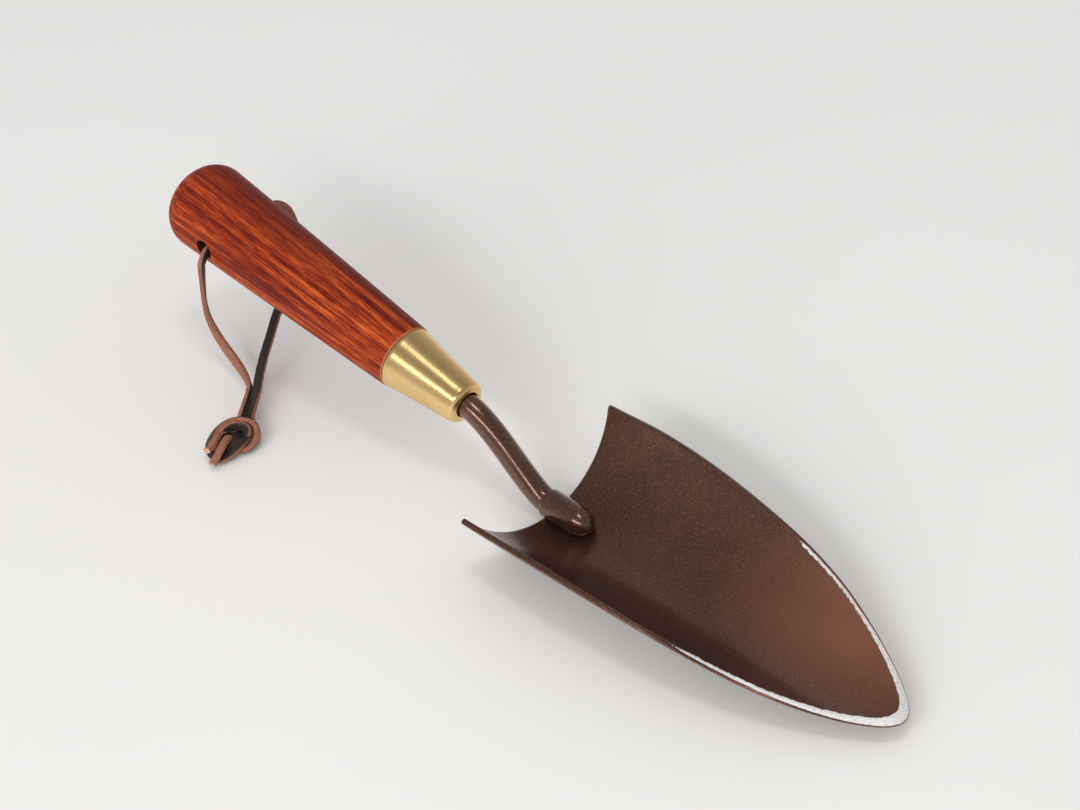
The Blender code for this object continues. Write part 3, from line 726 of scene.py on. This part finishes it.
def make_blade(material):
    """The dished sheet, with a float layer that says where it is ground to bare steel."""
    loops = [(0.0, blade_loop(0.0, forward, squeeze)) for forward, squeeze in REAR_ROUND]
    for index in range(1, BLADE_ROWS + 1):
        u = index / BLADE_ROWS
        loops.append((u, blade_loop(u)))
    tree = grind_line_tree()
    build = bmesh.new()
    layer = build.verts.layers.float.new("grind")
    rings = []
    for u, loop in loops:
        ring = []
        for along, across, depth, kind in loop:
            vertex = build.verts.new(dish_point(along, across, depth) * MM)
            _, _, distance = tree.find((along, across, 0.0))
            # The broken corners at the very edge get a value below zero, so they keep the coat's
            # dark colour: a thin dark line round the ground edge
            value = {ON_FACE: -distance, ON_GRIND: distance,
                     ON_BURR: BURR_GRIND, ON_BACK: BACK_GRIND}[kind]
            vertex[layer] = max(value, LEAST_GRIND) - (1.0 - grind_shown(u)) * UNGROUND_DROP
            ring.append(vertex)
        rings.append(ring)
    size = len(rings[0])
    for ring, after in zip(rings, rings[1:]):
        for index in range(size):
            follow = (index + 1) % size
            build.faces.new((ring[index], ring[follow], after[follow], after[index]))
    # The rear end is closed by faces from the inner row to the back row
    rear = rings[0]
    rim_rows = (size - 2 * (BLADE_COLUMNS + 1)) // 2
    last_back = size - rim_rows - 1
    for index in range(BLADE_COLUMNS):
        build.faces.new((rear[index], rear[index + 1],
                         rear[last_back - index - 1], rear[last_back - index]))
    bmesh.ops.remove_doubles(build, verts=build.verts, dist=1e-7)
    holes = [edge for edge in build.edges if edge.is_boundary]
    bmesh.ops.holes_fill(build, edges=holes, sides=0)
    blade = add_mesh("blade_steel", build, TOOL, 50.0)
    return finish_piece(blade, material, "trowel", ["blade"])


# ---- Shank and socket ----

def socket_frame():
    """Centre of the socket's rear face, and the direction along the socket."""
    pitch = math.radians(BLADE_PITCH_DEG)
    along = Vector((math.cos(pitch), 0.0, math.sin(pitch)))
    up = Vector((-math.sin(pitch), 0.0, math.cos(pitch)))
    return Vector((HEEL_X, 0.0, HEEL_Z)) - along * SOCKET_BACK + up * SOCKET_HEIGHT, along


def shank_path():
    """(place, radius) points of the rod: pointed tang, straight part, and crank into the socket."""
    path = [(Vector((-TANG_LENGTH, 0.0, 0.0)), ROD_RADIUS * 0.5),
            (Vector((-TANG_LENGTH + TANG_POINT, 0.0, 0.0)), ROD_RADIUS),
            (Vector((STRAIGHT_END, 0.0, 0.0)), ROD_RADIUS)]
    mouth, along = socket_frame()
    start = Vector((CRANK_START, 0.0, 0.0))
    inside = mouth + along * ROD_INSERT
    pulls = (start, start + Vector((CRANK_PULL, 0.0, 0.0)),
             inside - along * (CRANK_END_PULL + ROD_INSERT), inside)
    steps = 60
    for step in range(steps + 1):
        t = step / steps
        weights = ((1 - t) ** 3, 3 * t * (1 - t) ** 2, 3 * t * t * (1 - t), t ** 3)
        point = sum((pull * weight for pull, weight in zip(pulls, weights)), Vector())
        path.append((point, ROD_RADIUS))
    return path


def make_shank(material):
    path = shank_path()
    build = bmesh.new()
    sides = 64
    rings = []
    for index, (point, radius) in enumerate(path):
        before, after = path[max(index - 1, 0)][0], path[min(index + 1, len(path) - 1)][0]
        run = (after - before).normalized()
        up = Vector((-run.z, 0.0, run.x))
        ring = []
        for side in range(sides):
            angle = 2.0 * math.pi * side / sides
            offset = up * math.sin(angle) + Vector((0.0, math.cos(angle), 0.0))
            ring.append(build.verts.new((point + offset * radius) * MM))
        rings.append(ring)
    for ring, after in zip(rings, rings[1:]):
        for side in range(sides):
            follow = (side + 1) % sides
            build.faces.new((ring[side], ring[follow], after[follow], after[side]))
    build.faces.new(rings[0])
    build.faces.new(rings[-1])
    shank = add_mesh("shank_rod", build, TOOL)
    return finish_piece(shank, material, "trowel", ["shank"])


def make_socket(material):
    """The boss that takes the rod's end: rounded lip, straight side and bullet nose."""
    straight = SOCKET_LENGTH - SOCKET_NOSE
    profile = [(SOCKET_BORE_DEPTH, 0.0), (SOCKET_BORE_DEPTH, SOCKET_BORE_RADIUS),
               (0.0, SOCKET_BORE_RADIUS)]
    lip_height = SOCKET_RADIUS - SOCKET_BORE_RADIUS
    lip_steps = 6
    for step in range(1, lip_steps + 1):
        angle = 0.5 * math.pi * step / lip_steps
        profile.append((SOCKET_LIP_LENGTH * (1.0 - math.cos(angle)),
                        SOCKET_BORE_RADIUS + lip_height * math.sin(angle)))
    side_steps = 12
    for step in range(1, side_steps):
        along = SOCKET_LIP_LENGTH + (straight - SOCKET_LIP_LENGTH) * step / side_steps
        profile.append((along, SOCKET_RADIUS))
    nose_steps = 24
    for step in range(nose_steps + 1):
        angle = 0.5 * math.pi * step / nose_steps
        radius = SOCKET_RADIUS * math.cos(angle) if step < nose_steps else 0.0
        profile.append((straight + SOCKET_NOSE * math.sin(angle), radius))
    mouth, _ = socket_frame()
    place = (TOOL @ Matrix.Translation(mouth * MM)
             @ Matrix.Rotation(-math.radians(BLADE_PITCH_DEG), 4, "Y"))
    socket = add_mesh("blade_socket", revolve(profile, 72), place)
    return finish_piece(socket, material, "trowel", ["socket"])


# ---- Strap ----

def knot_place(across, away, height):
    """A place in the knot's own frame, as a point of the row frame in millimetres."""
    turn = math.radians(KNOT_TURN_DEG)
    right = Vector((math.cos(turn), math.sin(turn), 0.0))
    ahead = Vector((-math.sin(turn), math.cos(turn), 0.0))
    return (Vector(KNOT_CENTRE) + (right * across + ahead * away) * KNOT_SCALE
            + Vector((0.0, 0.0, height)))


def knot_stations(which):
    """Places and grain directions of one lace (0 near, 1 far) through the knot, in mm."""
    route = list(KNOT_ROUTE) + [TAIL_ENDS[which]]
    middle = [knot_place(*row[:3]) for row in route]
    turns = [[math.radians(value) for value in row[3:]] for row in route]
    stations = []
    for index, point in enumerate(middle):
        run = middle[min(index + 1, len(middle) - 1)] - middle[max(index - 1, 0)]
        run.normalize()
        left = Vector((-run.y, run.x, 0.0)).normalized()
        up = run.cross(left).normalized()
        if up.z < 0:
            up.negate()
        near, far = [0.5 * (LACE_THICKNESS * abs(math.cos(a)) + LACE_WIDTH * abs(math.sin(a)))
                     for a in turns[index]]
        shift = near + LACE_GAP if which else -(far + LACE_GAP)
        angle = turns[index][which]
        stations.append((point + left * shift, left * math.cos(angle) + up * math.sin(angle)))
    return stations


def lace_profile():
    """(across, through) points of the lace's section: a rectangle with rounded corners."""
    half_width, half_thick = 0.5 * LACE_WIDTH, 0.5 * LACE_THICKNESS
    points = []
    for quarter, (x, y) in enumerate(((1, 1), (-1, 1), (-1, -1), (1, -1))):
        for step in range(4):
            angle = 0.5 * math.pi * (quarter + step / 3.0)
            points.append((x * (half_width - LACE_CORNER) + LACE_CORNER * math.cos(angle),
                           y * (half_thick - LACE_CORNER) + LACE_CORNER * math.sin(angle)))
        if quarter in (0, 2):
            for share in (0.25, 0.5, 0.75):
                flat = x * (half_width - LACE_CORNER)
                points.append(((1 - 2 * share) * flat, y * half_thick))
        else:
            points.append((x * half_width, 0.0))
    return points


def lace_stations(which, leg, grain_hints):
    """Places and grain directions of one lace, from the middle of the hole to its cut end."""
    places = [Vector(HOLE_CENTRE)] + [Vector(point) for point in leg]
    grains = []
    for (index, grain), (after, next_grain) in zip(grain_hints, grain_hints[1:]):
        for step in range(index, after):
            share = (step - index) / (after - index)
            grains.append(Vector(grain).lerp(Vector(next_grain), share))
    grains.append(Vector(grain_hints[-1][1]))
    return list(zip(places, grains)) + knot_stations(which)


def make_lace(name, which, leg, grain_hints, material):
    """One half of the strap: a flat lace with a ragged flesh side and a smooth grain side."""
    stations = lace_stations(which, leg, grain_hints)
    line = catmull_rom([place for place, _ in stations], 12)
    turns = catmull_rom([grain.normalized() for _, grain in stations], 12)
    build = bmesh.new()
    side_layer = build.verts.layers.float.new("grain_side")
    end_layer = build.verts.layers.float.new("cut_end")
    profile = lace_profile()
    top = 0.5 * LACE_THICKNESS
    rings = []
    for index, point in enumerate(line):
        run = (line[min(index + 1, len(line) - 1)] - line[max(index - 1, 0)]).normalized()
        grain = (turns[index] - run * turns[index].dot(run)).normalized()
        across = run.cross(grain)
        ring = []
        for x, y in profile:
            # The flesh side and the edges are ragged, and the smooth side much less so
            rough = 1.0 if y < top - 0.1 else 0.25
            place = point + across * x + grain * y
            outward = (across * x + grain * y).normalized()
            ragged = sum(noise.noise(place * fine) * high for fine, high in LACE_FUZZ)
            vertex = build.verts.new((place + outward * ragged * rough) * MM)
            vertex[side_layer] = 1.0 if y > top - 0.25 else 0.0
            ring.append(vertex)
        rings.append(ring)
    for ring, after in zip(rings, rings[1:]):
        for index in range(len(ring)):
            follow = (index + 1) % len(ring)
            build.faces.new((ring[index], ring[follow], after[follow], after[index]))
    for ring in (rings[0], rings[-1]):
        build.faces.new(ring)
        for vertex in ring:
            vertex[end_layer] = 1.0
    lace = add_mesh(name, build)
    finish_piece(lace, material, "strap", [])
    return lace


def make_strap(material):
    """The near and the far half of the strap, which meet in the middle of the hole."""
    near = make_lace("strap_lace_near", 0, NEAR_LEG, NEAR_GRAIN, material)
    far = make_lace("strap_lace_far", 1, FAR_LEG, FAR_GRAIN, material)
    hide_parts("strap_lace", "strap_knot", "strap_tail_upper")
    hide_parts("strap_tail_lower")


# ---- Stage ----

def make_camera():
    """A long lens that looks down over the blade's side of the tool."""
    azimuth = math.radians(CAMERA_AZIMUTH_DEG)
    elevation = math.radians(CAMERA_ELEVATION_DEG)
    away = Vector((math.cos(elevation) * math.sin(azimuth), -math.cos(elevation) * math.cos(azimuth),
                   math.sin(elevation)))
    camera = bpy.data.objects.new("camera", bpy.data.cameras.new("camera"))
    bpy.context.scene.collection.objects.link(camera)
    camera.data.lens = CAMERA_LENS
    turn = (Matrix.Rotation(azimuth, 4, "Z") @ Matrix.Rotation(0.5 * math.pi - elevation, 4, "X")
            @ Matrix.Rotation(math.radians(CAMERA_ROLL_DEG), 4, "Z"))
    camera.matrix_world = Matrix.Translation(Vector(CAMERA_TARGET) + away * CAMERA_DISTANCE) @ turn
    bpy.context.scene.camera = camera


def add_softbox(name, place, aim, size, watts):
    """A rectangular area light that faces a point."""
    light = bpy.data.lights.new(name, "AREA")
    light.shape = "RECTANGLE"
    light.size, light.size_y = size
    light.energy = watts
    lamp = bpy.data.objects.new(name, light)
    bpy.context.scene.collection.objects.link(lamp)
    lamp.location = place
    lamp.rotation_euler = (Vector(place) - Vector(aim)).to_track_quat("Z", "Y").to_euler()
    return lamp


def make_world():
    """Even light from all round, while gloss mirrors a room that gets darker overhead."""
    world = bpy.data.worlds.new("soft_studio")
    bpy.context.scene.world = world
    world.use_nodes = True
    tree = world.node_tree
    background = tree.nodes["Background"]
    background.inputs["Color"].default_value = (1.0, 0.99, 0.985, 1.0)
    height = tree.nodes.new("ShaderNodeSeparateXYZ")
    tree.links.new(tree.nodes.new("ShaderNodeTexCoord").outputs["Generated"], height.inputs[0])
    room = tree.nodes.new("ShaderNodeMapRange")
    room.inputs["From Max"].default_value = ROOM_TOP
    room.inputs["To Min"].default_value = ROOM_LOW
    room.inputs["To Max"].default_value = ROOM_HIGH
    tree.links.new(height.outputs["Z"], room.inputs["Value"])
    glossy = tree.nodes.new("ShaderNodeLightPath").outputs["Is Glossy Ray"]
    strength = tree.nodes.new("ShaderNodeMix")
    strength.inputs["A"].default_value = WORLD_STRENGTH
    tree.links.new(glossy, strength.inputs["Factor"])
    tree.links.new(room.outputs["Result"], strength.inputs["B"])
    tree.links.new(strength.outputs["Result"], background.inputs["Strength"])


def make_stage():
    build = bmesh.new()
    bmesh.ops.create_grid(build, x_segments=1, y_segments=1, size=4.0)
    floor = add_mesh("floor", build)
    floor.data.materials.append(floor_material())
    make_world()
    add_softbox("overhead", (0.12, 0.0, 1.4), (0.12, 0.0, 0.0), (0.4, 0.22), 2.2)
    add_softbox("front_strip", (0.45, -1.15, 0.94), (0.45, 0.0, 0.0), (1.4, 0.16), 6.2)
    fill = add_softbox("front_fill", (0.3, -2.6, 1.2), (0.0, 0.0, 0.0), (3.0, 1.5), 32.0)
    fill.visible_glossy = False
    bpy.context.scene.view_settings.view_transform = "Standard"


def main():
    make_camera()
    make_strap(leather())
    make_handle(varnished_wood())
    make_ferrule(satin_brass())
    coat = coated_steel()
    make_shank(coat)
    make_socket(coat)
    make_blade(coated_blade())
    adhesive = bpy.data.objects["tang_adhesive"]
    adhesive.data.materials.clear()
    adhesive.data.materials.append(cured_adhesive())
    make_stage()


main()
